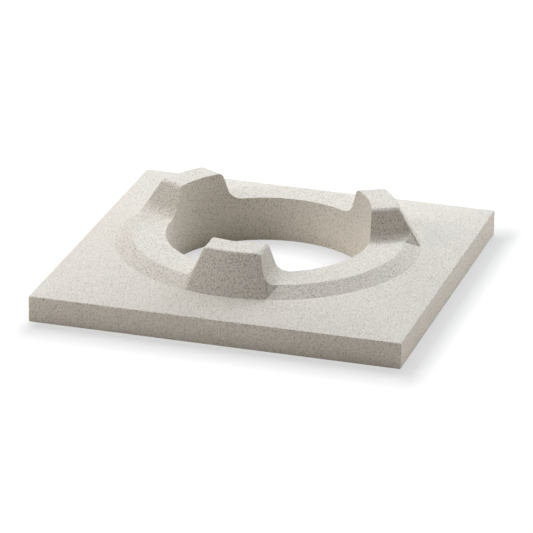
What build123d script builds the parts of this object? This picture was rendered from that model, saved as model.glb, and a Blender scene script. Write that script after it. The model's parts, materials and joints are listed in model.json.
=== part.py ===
from build123d import *
import math
import os

# Base of a chimney cowl, cast in one piece of concrete.
# A square plate rises to a round collar, and three posts stand on the collar round a through bore.
# Millimetres, +Z up. The origin is on the underside, on the axis of the bore.
# The front edge of the plate faces -Y and one post stands over it.

# Bore
BORE_DIAMETER = 300.0

# Plate
PLATE_SIDE = 550.0
PLATE_EDGE_HEIGHT = 39.0
PLATE_ARRIS_ROUND = 2.0
PLATE_RISE = 15.0

# Collar, with widths counted outwards from the bore's wall and heights upwards from its foot
COLLAR_TOP_WIDTH = 50.0
COLLAR_SLOPE_WIDTH = 24.0
COLLAR_RISE = 13.5
COLLAR_EDGE_ROUND = 6.0

# Posts, with their height counted from the collar's flat top
POST_BEARINGS = (-90.0, 30.0, 150.0)
POST_HEIGHT = 43.5
POST_TOP_WIDTH = 84.0
POST_TOP_DEPTH = 39.5
POST_SIDE_DRAFT = 19.0
POST_FOOT_SETBACK = 0.5
POST_SHOULDER_ROUND = 8.0
POST_EDGE_ROUND = 4.0

# Hollow flare where the side of a post runs out over the collar.
# Beyond the collar's top edge the flare dies away to nothing at the collar's foot.
# Its curve cuts a little way into the two faces that it joins.
FLARE_RADIUS = 25.0
FLARE_BITE = 0.3

# How far the hidden ends of joined shapes reach into the body
OVERLAP = 10.0

# Radii and heights that follow from the sizes above
BORE_RADIUS = BORE_DIAMETER / 2
COLLAR_TOP_RADIUS = BORE_RADIUS + COLLAR_TOP_WIDTH
COLLAR_FOOT_RADIUS = COLLAR_TOP_RADIUS + COLLAR_SLOPE_WIDTH
COLLAR_FOOT_HEIGHT = PLATE_EDGE_HEIGHT + PLATE_RISE
COLLAR_TOP_HEIGHT = COLLAR_FOOT_HEIGHT + COLLAR_RISE
POST_TOP_RADIUS = BORE_RADIUS + POST_TOP_DEPTH
POST_TOP_HEIGHT = COLLAR_TOP_HEIGHT + POST_HEIGHT
HIDDEN_HEIGHT = COLLAR_FOOT_HEIGHT - OVERLAP


def outer_face_radius(height):
    """Radius of a post's outer face at a height; the face lands on the collar just inside its foot."""
    foot_radius = COLLAR_FOOT_RADIUS - POST_FOOT_SETBACK
    foot_height = COLLAR_FOOT_HEIGHT + POST_FOOT_SETBACK * COLLAR_RISE / COLLAR_SLOPE_WIDTH
    spread = (foot_radius - POST_TOP_RADIUS) / (POST_TOP_HEIGHT - foot_height)
    return POST_TOP_RADIUS + spread * (POST_TOP_HEIGHT - height)


def half_width(height):
    """Half the width of a post at a height; the sides spread towards the foot."""
    spread = math.tan(math.radians(POST_SIDE_DRAFT))
    return POST_TOP_WIDTH / 2 + spread * (POST_TOP_HEIGHT - height)


def on_post(radius, offset, height):
    """Point at a distance from the bore's axis and to one side of the post that lies along +X."""
    return Vector(math.sqrt(radius**2 - offset**2), offset, height)


def outer_cone(inset):
    """Solid inside the posts' outer faces, or inside a cone that lies further in by an inset."""
    return Pos(0, 0, HIDDEN_HEIGHT) * Cone(
        outer_face_radius(HIDDEN_HEIGHT) - inset,
        POST_TOP_RADIUS - inset,
        POST_TOP_HEIGHT - HIDDEN_HEIGHT,
        align=(Align.CENTER, Align.CENTER, Align.MIN),
    )


def plate():
    """Square plate with a sloped top, from its straight edges up to the round foot of the collar."""
    slab = Box(
        PLATE_SIDE,
        PLATE_SIDE,
        PLATE_EDGE_HEIGHT,
        align=(Align.CENTER, Align.CENTER, Align.MIN),
    )
    slab = fillet(slab.edges(), PLATE_ARRIS_ROUND)
    half = PLATE_SIDE / 2 - PLATE_ARRIS_ROUND
    corners = [(half, -half), (half, half), (-half, half), (-half, -half)]
    foot_plane = Plane.XY.offset(COLLAR_FOOT_HEIGHT)
    square_edges = []
    circle_edges = []
    for index, corner in enumerate(corners):
        following = corners[(index + 1) % 4]
        start = Vector(*corner, PLATE_EDGE_HEIGHT)
        end = Vector(*following, PLATE_EDGE_HEIGHT)
        square_edges.append(Edge.make_line(start, end))
        middle = 90.0 * index
        quarter = Edge.make_circle(
            COLLAR_FOOT_RADIUS, foot_plane, start_angle=middle - 45.0, end_angle=middle + 45.0
        )
        circle_edges.append(quarter)
    slope = Solid.make_loft([Wire(square_edges), Wire(circle_edges)], ruled=True)
    return slab + slope


def collar():
    """Turned collar: sloped outside, flat on top, with its upper edge rounded."""
    outline = Polyline(
        (0, HIDDEN_HEIGHT),
        (COLLAR_FOOT_RADIUS, HIDDEN_HEIGHT),
        (COLLAR_FOOT_RADIUS, COLLAR_FOOT_HEIGHT),
        (COLLAR_TOP_RADIUS, COLLAR_TOP_HEIGHT),
        (0, COLLAR_TOP_HEIGHT),
        close=True,
    )
    turned = revolve(make_face(Plane.XZ * outline), Axis.Z)
    rim = turned.edges().filter_by(GeomType.CIRCLE).group_by(Axis.Z)[-1]
    return fillet(rim, COLLAR_EDGE_ROUND)


def radial_bar(section, inset):
    """Bar along +X that starts well inside the bore, has the given section, and ends at the outer cone."""
    return extrude(Pos(BORE_RADIUS / 2, 0, 0) * section, COLLAR_FOOT_RADIUS) & outer_cone(inset)


def post_core():
    """Post along +X: drafted sides, round shoulders, and an outer face coaxial with the bore."""
    outline = Polyline(
        (-half_width(HIDDEN_HEIGHT), HIDDEN_HEIGHT),
        (half_width(HIDDEN_HEIGHT), HIDDEN_HEIGHT),
        (half_width(POST_TOP_HEIGHT), POST_TOP_HEIGHT),
        (-half_width(POST_TOP_HEIGHT), POST_TOP_HEIGHT),
        close=True,
    )
    section = make_face(Plane.YZ * outline)
    section = fillet(section.vertices().group_by(Axis.Z)[-1], POST_SHOULDER_ROUND)
    core = radial_bar(section, 0.0)
    outer = core.faces().filter_by(GeomType.CONE)[0]
    visible = [edge for edge in outer.edges() if edge.bounding_box().max.Z > HIDDEN_HEIGHT + OVERLAP]
    return fillet(visible, POST_EDGE_ROUND)


def flare():
    """Hollow flare on the +Y side of the post along +X, cut off where the collar's top ends."""
    draft = math.radians(POST_SIDE_DRAFT)
    reach = FLARE_RADIUS - FLARE_BITE
    centre_z = COLLAR_TOP_HEIGHT + reach
    centre_y = half_width(centre_z) + reach / math.cos(draft)
    angles = (math.pi / 2, (draft + math.pi / 2) / 2, draft)
    low, middle, high = (
        (centre_y - FLARE_RADIUS * math.cos(angle), centre_z - FLARE_RADIUS * math.sin(angle))
        for angle in angles
    )
    inside = half_width(POST_TOP_HEIGHT)
    outline = Curve() + [
        ThreePointArc(low, middle, high),
        Polyline(high, (inside, high[1]), (inside, HIDDEN_HEIGHT), (centre_y, HIDDEN_HEIGHT), low),
    ]
    bar = radial_bar(make_face(Plane.YZ * outline), POST_EDGE_ROUND)
    foot_offset = centre_y - math.sqrt(FLARE_RADIUS**2 - reach**2)
    end_top = on_post(outer_face_radius(high[1]) - POST_EDGE_ROUND, half_width(high[1]), high[1])
    end_rim = on_post(COLLAR_TOP_RADIUS, foot_offset, COLLAR_TOP_HEIGHT)
    end_foot = on_post(
        COLLAR_FOOT_RADIUS - POST_FOOT_SETBACK, half_width(COLLAR_FOOT_HEIGHT), COLLAR_FOOT_HEIGHT
    )
    outward = (end_foot - end_top).cross(end_rim - end_top)
    return split(bar, Plane(origin=end_top, z_dir=outward), keep=Keep.BOTTOM)


def cowl_base():
    """The whole casting."""
    one_flare = flare()
    post = post_core() + one_flare + mirror(one_flare, Plane.XZ)
    body = plate() + collar()
    for bearing in POST_BEARINGS:
        body += Rot(0, 0, bearing) * post
    bore = Cylinder(
        BORE_RADIUS,
        POST_TOP_HEIGHT + 2 * OVERLAP,
        align=(Align.CENTER, Align.CENTER, Align.MIN),
    )
    return body - Pos(0, 0, -OVERLAP) * bore


os.makedirs("parts", exist_ok=True)
export_step(cowl_base(), "parts/cowl_base.step")
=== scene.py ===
"""Cast concrete base of a chimney cowl: a square plate, a round collar and three posts."""

import json
import logging
import math
import random
from dataclasses import dataclass, field
from enum import Enum
from typing import Any, Callable

import bmesh
import bpy
from mathutils import Matrix, Vector

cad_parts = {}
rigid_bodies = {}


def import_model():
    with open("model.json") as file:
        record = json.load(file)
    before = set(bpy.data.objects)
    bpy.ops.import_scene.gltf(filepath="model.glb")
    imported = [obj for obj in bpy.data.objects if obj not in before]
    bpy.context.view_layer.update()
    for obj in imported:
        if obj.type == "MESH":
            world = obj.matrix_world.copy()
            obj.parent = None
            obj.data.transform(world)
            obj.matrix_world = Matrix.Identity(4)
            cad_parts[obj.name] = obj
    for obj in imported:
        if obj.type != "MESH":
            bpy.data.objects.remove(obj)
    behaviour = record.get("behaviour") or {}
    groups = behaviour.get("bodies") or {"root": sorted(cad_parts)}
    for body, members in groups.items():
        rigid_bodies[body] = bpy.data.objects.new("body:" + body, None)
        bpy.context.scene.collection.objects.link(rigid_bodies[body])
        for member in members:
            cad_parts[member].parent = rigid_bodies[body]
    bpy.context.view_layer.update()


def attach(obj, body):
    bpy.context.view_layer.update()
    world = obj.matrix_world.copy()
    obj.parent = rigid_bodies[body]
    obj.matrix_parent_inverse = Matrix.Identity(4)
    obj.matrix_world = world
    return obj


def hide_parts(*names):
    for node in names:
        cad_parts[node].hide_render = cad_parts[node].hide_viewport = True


MM = 0.001
# Two points or heights this close count as the same.
TOUCH = 0.01 * MM
# A face counts as level when its normal points this much upwards.
LEVEL = 0.999
WHITE = "#FFFFFF"
LOG = logging.getLogger("cowl_base")


class PostPlace(Enum):
    """Where a post stands round the bore, as its bearing from +X in degrees."""

    FRONT = -90.0
    RIGHT_REAR = 30.0
    LEFT_REAR = 150.0


class Cut(Enum):
    """How one closed shape changes another."""

    JOIN = "UNION"
    REMOVE = "DIFFERENCE"
    KEEP_COMMON = "INTERSECT"


def linear(colour: str) -> tuple[float, float, float, float]:
    """Turns an sRGB hex colour to linear values.

    Args:
        colour: Colour such as "#D8D4CB".

    Returns:
        Linear red, green, blue, and an alpha of 1.
    """
    parts = [int(colour[i : i + 2], 16) / 255 for i in (1, 3, 5)]
    red, green, blue = (
        part / 12.92 if part <= 0.04045 else ((part + 0.055) / 1.055) ** 2.4 for part in parts
    )
    return red, green, blue, 1.0


def add_node(
    tree: bpy.types.NodeTree, kind: str, links: dict[Any, Any], **settings: Any
) -> bpy.types.Node:
    """Adds a node with its settings and what goes into it.

    Args:
        tree: Node tree that gets the node.
        kind: Blender's name for the kind of node.
        links: For each input, by name or number, a value or the output socket that feeds it.
        settings: Properties of the node itself.

    Returns:
        The new node.
    """
    node = tree.nodes.new(kind)
    for name, value in settings.items():
        setattr(node, name, value)
    for key, value in links.items():
        if isinstance(value, bpy.types.NodeSocket):
            tree.links.new(value, node.inputs[key])
        else:
            node.inputs[key].default_value = value
    return node


def take(piece: bpy.types.Object) -> None:
    """Selects one piece and nothing else, in object mode.

    Args:
        piece: Piece to select and make active.
    """
    if bpy.context.mode != "OBJECT":
        bpy.ops.object.mode_set(mode="OBJECT")
    bpy.ops.object.select_all(action="DESELECT")
    piece.select_set(True)
    bpy.context.view_layer.objects.active = piece


def settle(piece: bpy.types.Object) -> None:
    """Puts a piece's place, turn and scale into its mesh, so its object sits at the origin."""
    take(piece)
    bpy.ops.object.transform_apply(location=True, rotation=True, scale=True)


def open_mesh(piece: bpy.types.Object, mode: str) -> bmesh.types.BMesh:
    """Opens a piece in edit mode with nothing selected.

    Args:
        piece: Piece to shape.
        mode: "VERT", "EDGE" or "FACE", what is selected next.

    Returns:
        The mesh under edit.
    """
    take(piece)
    bpy.ops.object.mode_set(mode="EDIT")
    bpy.ops.mesh.select_mode(type=mode)
    bpy.ops.mesh.select_all(action="DESELECT")
    return bmesh.from_edit_mesh(piece.data)


def pick(piece: bpy.types.Object, parts: Any, wanted: Callable[[Any], bool]) -> None:
    """Selects the parts of a mesh under edit that fit a rule.

    Args:
        piece: Piece in edit mode.
        parts: Vertices, edges or faces to look through.
        wanted: Rule that says which of them are selected.
    """
    for part in [part for part in parts if wanted(part)]:
        part.select_set(True)
    bmesh.update_edit_mesh(piece.data)


def close_mesh() -> None:
    """Leaves edit mode."""
    bpy.ops.object.mode_set(mode="OBJECT")


def apply_cut(piece: bpy.types.Object, tool: bpy.types.Object, cut: Cut) -> None:
    """Joins another closed shape to a piece, or cuts the piece with it.

    Args:
        piece: Closed piece to change.
        tool: The other closed shape, which is gone afterwards.
        cut: What is done with the two.
    """
    take(piece)
    modifier = piece.modifiers.new("cut", "BOOLEAN")
    modifier.operation = cut.value
    modifier.solver = "MANIFOLD"
    modifier.object = tool
    bpy.ops.object.modifier_apply(modifier=modifier.name)
    bpy.data.objects.remove(tool)


@dataclass
class Plate:
    """Square plate whose top slopes up from its edges to the round foot of the collar."""

    side: float = 550 * MM
    edge_height: float = 39 * MM
    arris_round: float = 2 * MM
    arris_steps: int = 8
    foot_radius: float = 224 * MM
    foot_height: float = 54 * MM
    strips: int = 36

    def build(self) -> bpy.types.Object:
        """Models the plate up to the collar's foot, open at the foot's circle.

        Returns:
            The plate, with a round opening where the collar goes on.
        """
        bpy.ops.mesh.primitive_cube_add(size=1, location=(0, 0, self.edge_height / 2))
        plate = bpy.context.object
        plate.name = "casting"
        plate.scale = (self.side, self.side, self.edge_height)
        settle(plate)
        self._ease_arrises(plate)
        self._mark_strips(plate)
        self._raise_slope(plate)
        return plate

    def _ease_arrises(self, plate: bpy.types.Object) -> None:
        """Rounds every arris of the slab a little, as a mould does.

        Args:
            plate: The slab.
        """
        open_mesh(plate, "EDGE")
        bpy.ops.mesh.select_all(action="SELECT")
        bpy.ops.mesh.bevel(offset=self.arris_round, segments=self.arris_steps, affect="EDGES")
        close_mesh()

    def _mark_strips(self, plate: bpy.types.Object) -> None:
        """Divides the slab in even strips both ways, which the slope's faces start from.

        Args:
            plate: The slab.
        """
        open_mesh(plate, "FACE")
        inner = self.side - 2 * self.arris_round
        for axis in ((1, 0, 0), (0, 1, 0)):
            for index in range(1, self.strips):
                at = -inner / 2 + inner * index / self.strips
                bpy.ops.mesh.select_all(action="SELECT")
                bpy.ops.mesh.bisect(plane_co=[at * part for part in axis], plane_no=axis)
        close_mesh()

    def _raise_slope(self, plate: bpy.types.Object) -> None:
        """Swaps the flat top for faces that run from the square edges to the foot's circle.

        Args:
            plate: The slab, divided in strips.
        """
        mesh = open_mesh(plate, "FACE")
        pick(plate, mesh.faces, lambda f: f.normal.z > LEVEL)
        bpy.ops.mesh.delete(type="FACE")
        bpy.ops.mesh.select_mode(type="EDGE")
        bpy.ops.mesh.primitive_circle_add(
            vertices=4 * self.strips, radius=self.foot_radius, location=(0, 0, self.foot_height)
        )
        mesh = bmesh.from_edit_mesh(plate.data)
        bpy.ops.mesh.select_all(action="DESELECT")
        pick(plate, mesh.edges, lambda e: len(e.link_faces) < 2)
        bpy.ops.mesh.bridge_edge_loops()
        self._flatten_twist(plate)
        close_mesh()

    def _flatten_twist(self, plate: bpy.types.Object) -> None:
        """Splits the slope's twisted faces in two, so that each face is truly flat.

        Args:
            plate: The plate in edit mode, with its slope.
        """
        bpy.ops.mesh.select_all(action="DESELECT")
        mesh = bmesh.from_edit_mesh(plate.data)
        top = self.foot_height - TOUCH
        pick(plate, mesh.faces, lambda f: max(v.co.z for v in f.verts) > top)
        bpy.ops.mesh.quads_convert_to_tris(quad_method="BEAUTY")


@dataclass
class Collar:
    """Round collar on the plate: sloped outside, flat on top, with its upper edge rounded."""

    top_radius: float = 200 * MM
    top_height: float = 67.5 * MM
    edge_round: float = 6 * MM
    edge_steps: int = 4

    def build_on(self, plate: bpy.types.Object, foot: Plate) -> None:
        """Draws the collar up from the round opening of the plate and closes its top.

        Args:
            plate: The plate, open at the collar's foot.
            foot: Sizes of the plate.
        """
        mesh = open_mesh(plate, "EDGE")
        pick(plate, mesh.edges, lambda e: len(e.link_faces) < 2)
        rise = self.top_height - foot.foot_height
        bpy.ops.mesh.extrude_region_move(TRANSFORM_OT_translate={"value": (0, 0, rise)})
        shrink = self.top_radius / foot.foot_radius
        bpy.ops.transform.resize(value=(shrink, shrink, 1))
        bpy.ops.mesh.edge_face_add()
        close_mesh()
        self._round_edge(plate, foot)

    def _round_edge(self, plate: bpy.types.Object, foot: Plate) -> None:
        """Rounds the collar's upper edge to its radius.

        Args:
            plate: The plate with the collar on it.
            foot: Sizes of the plate.
        """
        rise, run = self.top_height - foot.foot_height, foot.foot_radius - self.top_radius
        setback = self.edge_round * math.tan(math.atan2(rise, run) / 2)
        mesh = open_mesh(plate, "EDGE")
        top = self.top_height - TOUCH
        pick(plate, mesh.edges, lambda e: min(v.co.z for v in e.verts) > top)
        bpy.ops.mesh.bevel(offset=setback, segments=self.edge_steps, affect="EDGES")
        close_mesh()


@dataclass
class Post:
    """Short tapered post with drafted sides, a round outer face and a hollow flare each side."""

    top_radius: float = 189.5 * MM
    top_height: float = 111 * MM
    top_width: float = 84 * MM
    side_draft: float = 19.0
    # The outer face lands on the collar's slope, just inside and above the slope's foot.
    landing_radius: float = 223.5 * MM
    landing_height: float = 54.28 * MM
    slope_foot_height: float = 54 * MM
    shoulder_round: float = 8 * MM
    shoulder_steps: int = 10
    # The edges round the outer face turn by about this angle. Sharper ones than the limit are
    # rounded, and the slighter ones between the facets of the round face are left.
    edge_round: float = 4 * MM
    edge_turn: float = 64.0
    edge_limit: float = 40.0
    edge_steps: int = 8
    # The flare's hollow cuts a little into the two faces that it joins, and its end stands back
    # from the outer face, where that face's rounded edge begins.
    flare_radius: float = 25 * MM
    flare_bite: float = 0.3 * MM
    flare_inset: float = 2.8 * MM
    flare_steps: int = 96
    # The post starts inside the bore and deep in the body, where it is cut off or hidden.
    hidden_height: float = 44 * MM
    inner_end: float = 110 * MM
    outer_end: float = 234 * MM
    round_steps: int = 192
    collar: Collar = field(default_factory=Collar)

    def half_width(self, height: float) -> float:
        """Half the width of the post at a height."""
        spread = math.tan(math.radians(self.side_draft))
        return self.top_width / 2 + spread * (self.top_height - height)

    def outer_radius(self, height: float) -> float:
        """Radius of the post's outer face at a height."""
        fall = self.top_height - self.landing_height
        spread = (self.landing_radius - self.top_radius) / fall
        return self.top_radius + spread * (self.top_height - height)

    def build(self, place: PostPlace) -> bpy.types.Object:
        """Models one post and turns it to its place.

        Args:
            place: Where the post stands.

        Returns:
            A closed post that reaches down into the collar.
        """
        post = self._core()
        apply_cut(post, self._flares(), Cut.JOIN)
        post.data.transform(Matrix.Rotation(math.radians(place.value), 4, "Z"))
        return post

    def _outer_cone(self, inset: float) -> bpy.types.Object:
        """Round tapered shape that ends the post outwards.

        Args:
            inset: How much further in than the post's outer face it lies.

        Returns:
            The closed shape.
        """
        depth = self.top_height - self.hidden_height
        bpy.ops.mesh.primitive_cone_add(
            vertices=self.round_steps,
            radius1=self.outer_radius(self.hidden_height) - inset,
            radius2=self.top_radius - inset,
            depth=depth,
            location=(0, 0, self.hidden_height + depth / 2),
        )
        cone = bpy.context.object
        settle(cone)
        return cone

    def _core(self) -> bpy.types.Object:
        """Drafted block with round shoulders, cut off by the outer cone and eased round its face.

        Returns:
            The post without its flares, lying along +X.
        """
        depth = self.top_height - self.hidden_height
        low, high = self.half_width(self.hidden_height), self.half_width(self.top_height)
        middle = (self.inner_end + self.outer_end) / 2
        bpy.ops.mesh.primitive_cube_add(
            size=1, location=(middle, 0, self.hidden_height + depth / 2)
        )
        core = bpy.context.object
        core.name = "post"
        core.scale = (self.outer_end - self.inner_end, 2 * low, depth)
        settle(core)
        mesh = open_mesh(core, "FACE")
        pick(core, mesh.faces, lambda f: f.normal.z > LEVEL)
        bpy.ops.transform.resize(value=(1, high / low, 1))
        close_mesh()
        self._round_shoulders(core)
        apply_cut(core, self._outer_cone(0.0), Cut.KEEP_COMMON)
        self._round_edges(core)
        return core

    def _round_shoulders(self, core: bpy.types.Object) -> None:
        """Rounds the two long edges between the top and the sides.

        Args:
            core: The drafted block.
        """
        mesh = open_mesh(core, "EDGE")
        top = self.top_height - TOUCH
        pick(
            core,
            mesh.edges,
            lambda e: min(v.co.z for v in e.verts) > top
            and abs(e.verts[0].co.y - e.verts[1].co.y) < TOUCH,
        )
        turn = math.radians(90 - self.side_draft)
        bpy.ops.mesh.bevel(
            offset=self.shoulder_round * math.tan(turn / 2),
            segments=self.shoulder_steps,
            affect="EDGES",
        )
        close_mesh()

    def _round_edges(self, core: bpy.types.Object) -> None:
        """Rounds the edges where the outer face meets the sides, the shoulders and the top.

        Args:
            core: The block, cut off by the outer cone.
        """
        mesh = open_mesh(core, "EDGE")
        mesh.normal_update()
        bottom = self.hidden_height + TOUCH
        inner = self.inner_end + TOUCH
        limit = math.radians(self.edge_limit)
        pick(
            core,
            mesh.edges,
            lambda e: max(v.co.z for v in e.verts) > bottom
            and max(v.co.x for v in e.verts) > inner
            and e.calc_face_angle(0.0) > limit,
        )
        bpy.ops.mesh.bevel(
            offset=self.edge_round * math.tan(math.radians(self.edge_turn / 2)),
            segments=self.edge_steps,
            affect="EDGES",
            loop_slide=False,
        )
        close_mesh()

    def _flares(self) -> bpy.types.Object:
        """Both hollow flares, as a block with a round hollow in it and its mirror image.

        Returns:
            The two flares of a post along +X, as one piece.
        """
        draft = math.radians(self.side_draft)
        reach = self.flare_radius - self.flare_bite
        centre_z = self.collar.top_height + reach
        centre_y = self.half_width(centre_z) + reach / math.cos(draft)
        top = centre_z - self.flare_radius * math.sin(draft)
        inside = self.half_width(self.top_height)
        middle = (self.inner_end + self.outer_end) / 2
        bpy.ops.mesh.primitive_cube_add(
            size=1,
            location=(middle, (inside + centre_y) / 2, (self.hidden_height + top) / 2),
        )
        flare = bpy.context.object
        flare.scale = (
            self.outer_end - self.inner_end,
            centre_y - inside,
            top - self.hidden_height,
        )
        settle(flare)
        bpy.ops.mesh.primitive_cylinder_add(
            vertices=self.flare_steps,
            radius=self.flare_radius,
            depth=self.outer_end,
            location=(middle, centre_y, centre_z),
            rotation=(0, math.pi / 2, 0),
        )
        hollow = bpy.context.object
        settle(hollow)
        apply_cut(flare, hollow, Cut.REMOVE)
        apply_cut(flare, self._outer_cone(self.flare_inset), Cut.KEEP_COMMON)
        self._end_flare(flare, centre_y, top)
        take(flare)
        mirror = flare.modifiers.new("other side", "MIRROR")
        mirror.use_axis = (False, True, False)
        mirror.use_mirror_merge = False
        bpy.ops.object.modifier_apply(modifier=mirror.name)
        return flare

    def _end_flare(self, flare: bpy.types.Object, centre_y: float, top: float) -> None:
        """Cuts the flare off along the plane where the collar's top ends.

        Args:
            flare: The flare to cut.
            centre_y: Distance of the hollow's axis from the middle of the post.
            top: Height at which the hollow runs out into the post's side.
        """
        reach = self.flare_radius - self.flare_bite
        offset = centre_y - math.sqrt(self.flare_radius**2 - reach**2)
        high = self._at(self.outer_radius(top) - self.flare_inset, self.half_width(top), top)
        rim = self._at(self.collar.top_radius, offset, self.collar.top_height)
        level = self.slope_foot_height
        foot = self._at(self.landing_radius, self.half_width(level), level)
        outward = (foot - high).cross(rim - high).normalized()
        open_mesh(flare, "FACE")
        bpy.ops.mesh.select_all(action="SELECT")
        bpy.ops.mesh.bisect(plane_co=high, plane_no=outward, use_fill=True, clear_outer=True)
        close_mesh()

    @staticmethod
    def _at(radius: float, offset: float, height: float) -> Vector:
        """Point at a radius from the bore's axis and to one side of the post."""
        return Vector((math.sqrt(radius**2 - offset**2), offset, height))


@dataclass
class Bore:
    """Straight round hole for the flue, which also cuts the posts' inner faces."""

    radius: float = 150 * MM
    depth: float = 111 * MM
    overshoot: float = 27.75 * MM
    round_steps: int = 192

    def cutter(self) -> bpy.types.Object:
        """Makes a round shape that stands out of the casting above and below.

        Returns:
            The closed shape.
        """
        bpy.ops.mesh.primitive_cylinder_add(
            vertices=self.round_steps,
            radius=self.radius,
            depth=self.depth + 2 * self.overshoot,
            location=(0, 0, self.depth / 2),
        )
        tool = bpy.context.object
        settle(tool)
        return tool


@dataclass(frozen=True)
class CastConcrete:
    """Lightweight concrete of cement and fine sand, cast in a mould and left as struck.

    It is matt and pale grey-beige, with a salt-and-pepper grain of darker and lighter sand.
    The sloped faces of the collar and the posts show more grain than the others, which also makes
    them a little darker as painted shade.
    """

    name: str = "cast_lightweight_concrete"
    cement: str = "#EDEAE1"
    cement_shade: str = "#E7E3D9"
    dark_sand: str = "#95877C"
    light_sand: str = "#F1ECE1"
    # Colour of the pores: painted shade, standing in for the shade inside each small pore.
    pore_shade: str = "#8E8578"
    roughness: float = 0.93
    ior: float = 1.5
    shine: float = 0.2
    # The sand is 0.5 to 1 mm wide. It is drawn about twice as coarse, so that it shows at the
    # photograph's 1.5 mm to a pixel.
    grain_mm: float = 1.8
    grain_range: tuple[float, float] = (0.37, 0.51)
    # Share of grain on even and on sloped faces. The larger share on slopes is real grain and
    # also darkens them: painted shade.
    even_grain: float = 0.72
    sloped_grain_and_shade: float = 1.0
    # The struck face is faintly uneven, which gives it a soft, dry look.
    relief_mm: float = 2.4
    relief_depth_mm: float = 0.35
    # Tone drifts over a hand's width, as the mix settles in the mould.
    tone_mm: float = 60.0
    # Pores are up to 2 mm wide, most of them much less, and stand this far apart.
    pore_spacing_mm: float = 4.5
    pore_reach: float = 0.22
    slope_grain_and_shade_mark: str = "sloped"

    def material(self) -> bpy.types.Material:
        """Builds the material.

        Returns:
            The material, on the piece's object coordinates and the mark on its sloped faces.
        """
        made = bpy.data.materials.new(self.name)
        made.use_nodes = True
        tree = made.node_tree
        tree.nodes.clear()
        place = add_node(tree, "ShaderNodeTexCoord", {}).outputs["Object"]
        pores = self._pores(tree, place)
        relief = add_node(
            tree,
            "ShaderNodeTexNoise",
            {
                "Vector": place,
                "Scale": 1 / (self.relief_mm * MM),
                "Detail": 3.0,
                "Roughness": 0.75,
            },
        ).outputs["Fac"]
        dented = add_node(tree, "ShaderNodeMath", {0: relief, 1: pores}, operation="SUBTRACT")
        bump = add_node(
            tree,
            "ShaderNodeBump",
            {"Height": dented.outputs[0], "Distance": self.relief_depth_mm * MM},
        )
        shader = add_node(
            tree,
            "ShaderNodeBsdfPrincipled",
            {
                "Base Color": self._colour(tree, place, pores),
                "Normal": bump.outputs[0],
                "Roughness": self.roughness,
                "IOR": self.ior,
                "Specular IOR Level": self.shine,
            },
        )
        add_node(tree, "ShaderNodeOutputMaterial", {"Surface": shader.outputs[0]})
        return made

    def _colour(
        self, tree: bpy.types.NodeTree, place: bpy.types.NodeSocket, pores: bpy.types.NodeSocket
    ) -> bpy.types.NodeSocket:
        """Lays sand grains over the slowly drifting tone of the cement, and painted shade in the
        pores.

        Args:
            tree: Node tree of the material.
            place: Object coordinates.
            pores: Share of pore at each point, which is painted dark as shade.

        Returns:
            The surface colour.
        """
        drift = add_node(
            tree,
            "ShaderNodeTexNoise",
            {"Vector": place, "Scale": 1 / (self.tone_mm * MM), "Detail": 3.0},
        )
        cement = add_node(
            tree,
            "ShaderNodeMix",
            {
                "Factor": drift.outputs["Fac"],
                "A": linear(self.cement_shade),
                "B": linear(self.cement),
            },
            data_type="RGBA",
        )
        sand = add_node(
            tree,
            "ShaderNodeTexNoise",
            {
                "Vector": place,
                "Scale": 1 / (self.grain_mm * MM),
                "Detail": 4.0,
                "Roughness": 0.8,
            },
        )
        dark, pale = self.grain_range
        light = add_node(
            tree,
            "ShaderNodeMapRange",
            {"Value": sand.outputs["Fac"], "From Min": dark, "From Max": pale},
        )
        grain = add_node(
            tree,
            "ShaderNodeMix",
            {
                "Factor": light.outputs[0],
                "A": linear(self.dark_sand),
                "B": linear(self.light_sand),
            },
            data_type="RGBA",
        )
        # Sloped faces get more grain, which also darkens them as painted shade.
        sloped = add_node(tree, "ShaderNodeAttribute", {}, attribute_name=self.slope_grain_and_shade_mark)
        share = add_node(
            tree,
            "ShaderNodeMapRange",
            {
                "Value": sloped.outputs["Fac"],
                "To Min": self.even_grain,
                "To Max": self.sloped_grain_and_shade,
            },
        )
        sanded = add_node(
            tree,
            "ShaderNodeMix",
            {
                "Factor": share.outputs[0],
                "A": cement.outputs["Result"],
                "B": grain.outputs["Result"],
            },
            data_type="RGBA",
        )
        # Painted shade: the pores are darkened to the pore colour.
        return add_node(
            tree,
            "ShaderNodeMix",
            {"Factor": pores, "A": sanded.outputs["Result"], "B": linear(self.pore_shade)},
            data_type="RGBA",
        ).outputs["Result"]

    def _pores(
        self, tree: bpy.types.NodeTree, place: bpy.types.NodeSocket
    ) -> bpy.types.NodeSocket:
        """Lays out round spots of uneven size, one in each cell of an uneven grid.

        Args:
            tree: Node tree of the material.
            place: Object coordinates.

        Returns:
            Share of pore at each point.
        """
        cells = add_node(
            tree,
            "ShaderNodeTexVoronoi",
            {"Vector": place, "Scale": 1 / (self.pore_spacing_mm * MM)},
        )
        lot = add_node(tree, "ShaderNodeSeparateColor", {"Color": cells.outputs["Color"]})
        away = add_node(
            tree,
            "ShaderNodeMath",
            {0: cells.outputs["Distance"], 1: lot.outputs[0]},
            operation="DIVIDE",
        )
        return add_node(
            tree,
            "ShaderNodeMapRange",
            {
                "Value": away.outputs[0],
                "From Min": self.pore_reach,
                "From Max": 0.5 * self.pore_reach,
            },
        ).outputs[0]


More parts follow.
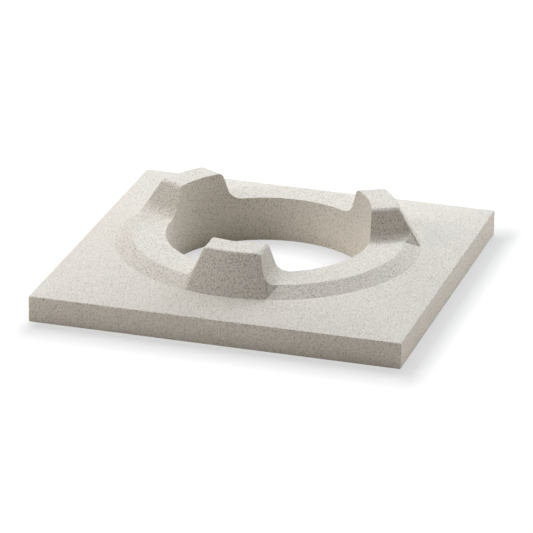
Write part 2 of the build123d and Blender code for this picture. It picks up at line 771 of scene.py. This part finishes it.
@dataclass
class Arris:
    """Level edge of the casting that chips lie on, straight or round a centre."""

    start: Vector
    end: Vector
    centre: Vector | None = None
    outward: float = 45.0
    eased: float = 0.0

    def at(self, share: float) -> tuple[Vector, Vector, Vector]:
        """Finds a point on the edge.

        Args:
            share: How far along the edge, from 0 to 1.

        Returns:
            The point, the direction along the edge and the direction straight off it.
        """
        point = self.start.lerp(self.end, share)
        side = (self.end - self.start).normalized()
        level = side.cross(Vector((0, 0, 1)))
        if self.centre is not None:
            radius = (self.start - self.centre).length
            level = (self.centre - point).normalized()
            point = self.centre - level * radius
            side = Vector((0, 0, 1)).cross(level)
        lift = math.radians(self.outward)
        off = level * math.cos(lift) + Vector((0, 0, math.sin(lift)))
        return point - off * self.eased, side, off


@dataclass
class Wear:
    """Air holes that the mould leaves in the concrete, and small chips along the arrises."""

    seed: int = 5
    holes: int = 520
    hole_width: tuple[float, float] = (1.2 * MM, 3.0 * MM)
    # As shares of a hole's half width: its length, its ball's depth, and how far that is raised.
    hole_length: tuple[float, float] = (0.9, 1.4)
    hole_depth: float = 0.8
    hole_raise: float = 0.3
    spacing: float = 5 * MM
    # Weight of a level face for holes. An upright one has 1 more, as air clings to the mould.
    flat_share: float = 0.2
    ball_segments: int = 8
    ball_rings: int = 6
    chips: int = 56
    chip_length: tuple[float, float] = (3 * MM, 8 * MM)
    chip_width: float = 3.2 * MM
    chip_depth: tuple[float, float] = (0.35 * MM, 0.8 * MM)
    places: list[Vector] = field(default_factory=list)

    def cutter(self, body: bpy.types.Object, arrises: list[Arris]) -> bpy.types.Object:
        """Makes one tool of many small closed balls, each where a hole or a chip goes.

        Args:
            body: Casting that gets the wear.
            arrises: Edges that chips lie on.

        Returns:
            The joined tool.
        """
        draw = random.Random(self.seed)
        bpy.ops.mesh.primitive_uv_sphere_add(
            segments=self.ball_segments, ring_count=self.ball_rings, radius=1
        )
        ball = bpy.context.object
        for _ in range(self.chips):
            self._copy(ball, self._chip(draw, draw.choice(arrises)))
        body.data.calc_loop_triangles()
        triangles = list(body.data.loop_triangles)
        chances = [t.area * (self.flat_share + 1 - abs(t.normal.z)) for t in triangles]
        for triangle in draw.choices(triangles, chances, k=self.holes):
            self._copy(ball, self._hole(draw, body.data, triangle))
        bpy.ops.object.select_all(action="DESELECT")
        bpy.data.objects.remove(ball)
        balls = [o for o in bpy.context.scene.objects if o.name.startswith("wear")]
        for one in balls:
            one.select_set(True)
        bpy.context.view_layer.objects.active = balls[0]
        bpy.ops.object.join()
        return balls[0]

    def _copy(self, ball: bpy.types.Object, turned: Matrix) -> None:
        """Copies the ball to a place, unless another one is already close by.

        Args:
            ball: The ball that is copied.
            turned: Place, turn and size of the copy.
        """
        place = turned.translation.copy()
        if any((place - other).length < self.spacing for other in self.places):
            return
        self.places.append(place)
        mesh = ball.data.copy()
        mesh.transform(turned)
        bpy.context.scene.collection.objects.link(bpy.data.objects.new("wear", mesh))

    def _chip(self, draw: random.Random, arris: Arris) -> Matrix:
        """Turns and sizes the ball for a shallow chip somewhere along an arris.

        Args:
            draw: Source of the random sizes and places.
            arris: Edge that the chip lies on.

        Returns:
            Place, turn and size of the chip.
        """
        point, along, outward = arris.at(draw.random())
        across = self.chip_width / 2
        sunk = outward * (across - draw.uniform(*self.chip_depth))
        turned = Matrix((along, outward.cross(along), outward)).transposed().to_4x4()
        sizes = Matrix.Diagonal((draw.uniform(*self.chip_length) / 2, across, across, 1))
        return Matrix.Translation(point + sunk) @ turned @ sizes

    def _hole(
        self, draw: random.Random, mesh: bpy.types.Mesh, triangle: bpy.types.MeshLoopTriangle
    ) -> Matrix:
        """Turns and sizes the ball for an air hole at a random point of a triangle.

        Args:
            draw: Source of the random sizes and places.
            mesh: Mesh of the casting.
            triangle: Triangle of that mesh.

        Returns:
            Place, turn and size of the hole.
        """
        corners = [mesh.vertices[i].co for i in triangle.vertices]
        first, second = sorted((draw.random(), draw.random()))
        shares = (first, second - first, 1 - second)
        point = sum((corner * share for corner, share in zip(corners, shares)), Vector())
        radius = draw.uniform(*self.hole_width) / 2
        turned = triangle.normal.to_track_quat("Z", "Y").to_matrix().to_4x4()
        spin = Matrix.Rotation(draw.uniform(0, math.tau), 4, "Z")
        length = radius * draw.uniform(*self.hole_length)
        sizes = Matrix.Diagonal((length, radius, self.hole_depth * radius, 1))
        raised = point + triangle.normal * (self.hole_raise * radius)
        return Matrix.Translation(raised) @ turned @ spin @ sizes


@dataclass
class Casting:
    """The whole casting, made in one piece."""

    plate: Plate = field(default_factory=Plate)
    collar: Collar = field(default_factory=Collar)
    post: Post = field(default_factory=Post)
    bore: Bore = field(default_factory=Bore)
    wear: Wear = field(default_factory=Wear)
    finish: CastConcrete = field(default_factory=CastConcrete)
    # Chips lie this far to each side along the bore's rim, on a post and between two posts.
    post_rim_spread: float = 14.0
    collar_rim_spread: float = 26.0
    half_pitch: float = 60.0
    # Edges that turn by less are shaded smooth, and so are those between the holes' small facets.
    smooth_below: float = 12.0
    hole_facet: float = 1.2 * MM * MM
    # A face counts as sloped when its normal's upward share lies between these.
    slope_range: tuple[float, float] = (0.1, 0.95)

    def build(self) -> bpy.types.Object:
        """Models the casting and gives it its finish.

        Returns:
            The finished piece.
        """
        body = self.plate.build()
        self.collar.build_on(body, self.plate)
        for place in PostPlace:
            apply_cut(body, self.post.build(place), Cut.JOIN)
            LOG.info("post %s joined", place.name.lower())
        apply_cut(body, self.bore.cutter(), Cut.REMOVE)
        apply_cut(body, self.wear.cutter(body, self._arrises()), Cut.REMOVE)
        LOG.info("wear: %d air holes and chips", len(self.wear.places))
        self._clean(body)
        self._mark_slopes(body)
        body.data.materials.clear()
        body.data.materials.append(self.finish.material())
        return body

    def _arrises(self) -> list[Arris]:
        """Lists the edges that get chipped.

        Returns:
            The plate's four upper edges, and the bore's rim on the posts and between them.
        """
        half, height = self.plate.side / 2, self.plate.edge_height
        corners = [
            Vector((x * half, y * half, height)) for x, y in ((-1, -1), (1, -1), (1, 1), (-1, 1))
        ]
        eased = (math.sqrt(2) - 1) * self.plate.arris_round
        edges = [Arris(a, b, eased=eased) for a, b in zip(corners, corners[1:] + corners[:1])]
        radius = self.bore.radius
        for place in PostPlace:
            for bearing, spread, level in (
                (place.value, self.post_rim_spread, self.post.top_height),
                (place.value + self.half_pitch, self.collar_rim_spread, self.collar.top_height),
            ):
                ends = [
                    Vector((radius * math.cos(turn), radius * math.sin(turn), level))
                    for turn in (math.radians(bearing - spread), math.radians(bearing + spread))
                ]
                edges.append(Arris(*ends, centre=Vector((0, 0, level))))
        return edges

    def _mark_slopes(self, body: bpy.types.Object) -> None:
        """Marks the faces that are neither nearly level nor upright, for the finish to read: it
        gives them more grain and painted shade.

        Args:
            body: The casting.
        """
        upright, level = self.slope_range
        mark = body.data.attributes.new(self.finish.slope_grain_and_shade_mark, "FLOAT", "FACE")
        for index, face in enumerate(body.data.polygons):
            mark.data[index].value = float(upright < face.normal.z < level)

    def _clean(self, body: bpy.types.Object) -> None:
        """Merges doubled points, turns faces outwards and smooths the rounded parts.

        Args:
            body: The casting.
        """
        open_mesh(body, "VERT")
        bpy.ops.mesh.select_all(action="SELECT")
        bpy.ops.mesh.remove_doubles(threshold=TOUCH)
        bpy.ops.mesh.dissolve_degenerate(threshold=TOUCH)
        bpy.ops.mesh.normals_make_consistent(inside=False)
        close_mesh()
        take(body)
        bpy.ops.object.shade_smooth_by_angle(angle=math.radians(self.smooth_below))
        mesh = open_mesh(body, "EDGE")
        pick(
            body,
            mesh.edges,
            lambda e: all(f.calc_area() < self.hole_facet for f in e.link_faces),
        )
        bpy.ops.mesh.mark_sharp(clear=True)
        close_mesh()
        take(body)
        weighted = body.modifiers.new("flat faces stay flat", "WEIGHTED_NORMAL")
        weighted.keep_sharp = True
        bpy.ops.object.modifier_apply(modifier=weighted.name)


@dataclass
class SoftLamp:
    """Round soft box that points at the casting."""

    name: str
    azimuth: float
    elevation: float
    watts: float
    colour: str = WHITE
    distance: float = 3.0
    width: float = 1.8
    aim_height: float = 50 * MM

    def build(self) -> None:
        """Places the lamp on its bearing and height, facing the casting."""
        turn, tilt = math.radians(self.azimuth), math.radians(self.elevation)
        towards = Vector(
            (math.cos(turn) * math.cos(tilt), math.sin(turn) * math.cos(tilt), math.sin(tilt))
        )
        light = bpy.data.lights.new(self.name, "AREA")
        light.shape = "DISK"
        light.size = self.width
        light.energy = self.watts
        light.color = linear(self.colour)[:3]
        lamp = bpy.data.objects.new(self.name, light)
        bpy.context.scene.collection.objects.link(lamp)
        lamp.location = towards * self.distance + Vector((0, 0, self.aim_height))
        lamp.rotation_euler = towards.to_track_quat("Z", "Y").to_euler()


@dataclass
class Studio:
    """White floor and plain white surroundings."""

    floor_size: float = 12.0
    # What the camera sees of the lamps' light on the paper, and what the paper throws back.
    paper_seen: str = "#767676"
    paper_bounce: str = "#ECE6DE"
    # The soft shade lies round the plate's footprint, shifted and of uneven reach, and in the
    # bore, where it reaches in from the wall.
    footprint: float = 550 * MM
    shade_shift: tuple[float, float] = (18 * MM, -12 * MM)
    shade_reach: tuple[float, float] = (34 * MM, 70 * MM)
    bore_radius: float = 150 * MM
    bore_reach: float = 84 * MM
    shade_white: float = 0.59
    open_white: float = 0.90

    def build(self) -> None:
        """Lays the floor and sets the surroundings."""
        bpy.ops.mesh.primitive_plane_add(size=self.floor_size)
        floor = bpy.context.object
        floor.name = "floor"
        floor.data.materials.append(self._floor_finish())
        world = bpy.data.worlds.new("surroundings")
        bpy.context.scene.world = world
        world.use_nodes = True
        tree = world.node_tree
        tree.nodes.clear()
        seen = add_node(tree, "ShaderNodeLightPath", {}).outputs["Is Camera Ray"]
        sky = add_node(tree, "ShaderNodeBackground", {"Color": linear(WHITE), "Strength": seen})
        add_node(tree, "ShaderNodeOutputWorld", {"Surface": sky.outputs[0]})

    def _floor_finish(self) -> bpy.types.Material:
        """White paper that the camera sees as pure white, but for a soft shade round the casting.

        Light that bounces off it is that of plain white paper.

        Returns:
            The material.
        """
        paper = bpy.data.materials.new("white_paper")
        paper.use_nodes = True
        tree = paper.node_tree
        tree.nodes.clear()
        seen = add_node(tree, "ShaderNodeLightPath", {}).outputs["Is Camera Ray"]
        glow = add_node(
            tree,
            "ShaderNodeEmission",
            {"Color": linear(WHITE), "Strength": self._openness(tree)},
        )
        lit = add_node(tree, "ShaderNodeBsdfDiffuse", {"Color": linear(self.paper_seen)})
        shown = add_node(tree, "ShaderNodeAddShader", {0: lit.outputs[0], 1: glow.outputs[0]})
        bounce = add_node(tree, "ShaderNodeBsdfDiffuse", {"Color": linear(self.paper_bounce)})
        either = add_node(
            tree, "ShaderNodeMixShader", {0: seen, 1: bounce.outputs[0], 2: shown.outputs[0]}
        )
        add_node(tree, "ShaderNodeOutputMaterial", {"Surface": either.outputs[0]})
        return paper

    def _openness(self, tree: bpy.types.NodeTree) -> bpy.types.NodeSocket:
        """Works out how white the floor is: less so close round the casting and in the bore.

        Args:
            tree: Node tree of the paper.

        Returns:
            Strength of the white that the camera sees.
        """
        place = add_node(tree, "ShaderNodeTexCoord", {}).outputs["Object"]
        half = self.footprint / 2
        moved = add_node(
            tree,
            "ShaderNodeVectorMath",
            {0: place, 1: (*self.shade_shift, 0)},
            operation="SUBTRACT",
        )
        folded = add_node(
            tree, "ShaderNodeVectorMath", {0: moved.outputs[0]}, operation="ABSOLUTE"
        )
        past = add_node(
            tree,
            "ShaderNodeVectorMath",
            {0: folded.outputs[0], 1: (half, half, 0)},
            operation="SUBTRACT",
        )
        away = add_node(
            tree,
            "ShaderNodeVectorMath",
            {0: past.outputs[0], 1: (0, 0, 0)},
            operation="MAXIMUM",
        )
        shared = add_node(
            tree,
            "ShaderNodeVectorMath",
            {0: away.outputs[0], 1: (*self.shade_reach, 1)},
            operation="DIVIDE",
        )
        outside = add_node(
            tree, "ShaderNodeVectorMath", {0: shared.outputs[0]}, operation="LENGTH"
        )
        middle = add_node(tree, "ShaderNodeVectorMath", {0: place}, operation="LENGTH")
        inside = add_node(
            tree,
            "ShaderNodeMapRange",
            {
                "Value": middle.outputs["Value"],
                "From Min": self.bore_radius,
                "From Max": self.bore_radius - self.bore_reach,
            },
        )
        reach = add_node(
            tree,
            "ShaderNodeMath",
            {0: outside.outputs["Value"], 1: inside.outputs[0]},
            operation="MAXIMUM",
        )
        return add_node(
            tree,
            "ShaderNodeMapRange",
            {"Value": reach.outputs[0], "To Min": self.shade_white, "To Max": self.open_white},
        ).outputs[0]


@dataclass
class PhotoCamera:
    """Camera at the photograph's viewing angle and distance."""

    azimuth: float = 16.106
    elevation: float = 21.633
    roll: float = 0.979
    distance: float = 6.5076
    look_at: tuple[float, float, float] = (-0.013, 0.039, 0.0)
    focal_pixels: float = 4407.5
    image_pixels: int = 533
    sensor: float = 36.0

    def build(self) -> None:
        """Places the camera and makes it the scene's."""
        turn, tilt = math.radians(self.azimuth), math.radians(self.elevation)
        tip = math.radians(self.roll)
        back = Vector(
            (math.sin(turn) * math.cos(tilt), -math.cos(turn) * math.cos(tilt), math.sin(tilt))
        )
        level = Vector((math.cos(turn), math.sin(turn), 0))
        upright = back.cross(level)
        right = math.cos(tip) * level + math.sin(tip) * upright
        up = -math.sin(tip) * level + math.cos(tip) * upright
        data = bpy.data.cameras.new("camera")
        data.sensor_width = self.sensor
        data.lens = self.focal_pixels / self.image_pixels * self.sensor
        camera = bpy.data.objects.new("camera", data)
        bpy.context.scene.collection.objects.link(camera)
        turned = Matrix((right, up, back)).transposed().to_4x4()
        place = Vector(self.look_at) + back * self.distance
        camera.matrix_world = Matrix.Translation(place) @ turned
        bpy.context.scene.camera = camera


def main() -> None:
    """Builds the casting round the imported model, then its studio."""
    logging.basicConfig(level=logging.INFO, format="%(name)s: %(message)s")
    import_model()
    casting = Casting().build()
    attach(casting, "root")
    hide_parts("cowl_base")
    LOG.info("casting: %d faces", len(casting.data.polygons))
    Studio().build()
    SoftLamp("back_soft_box", 120, 60, 145, "#FAFBFF", 4.5, 2.7).build()
    SoftLamp("side_soft_box", 60, 35, 38, "#EAF5FF").build()
    SoftLamp("left_soft_box", 210, 35, 34.5, "#FFFCFC").build()
    SoftLamp("right_soft_box", 0, 12, 14.5, "#FFF7F3", 3.0, 1.2).build()
    PhotoCamera().build()
    bpy.context.scene.view_settings.view_transform = "Standard"


if __name__ == "__main__":
    main()
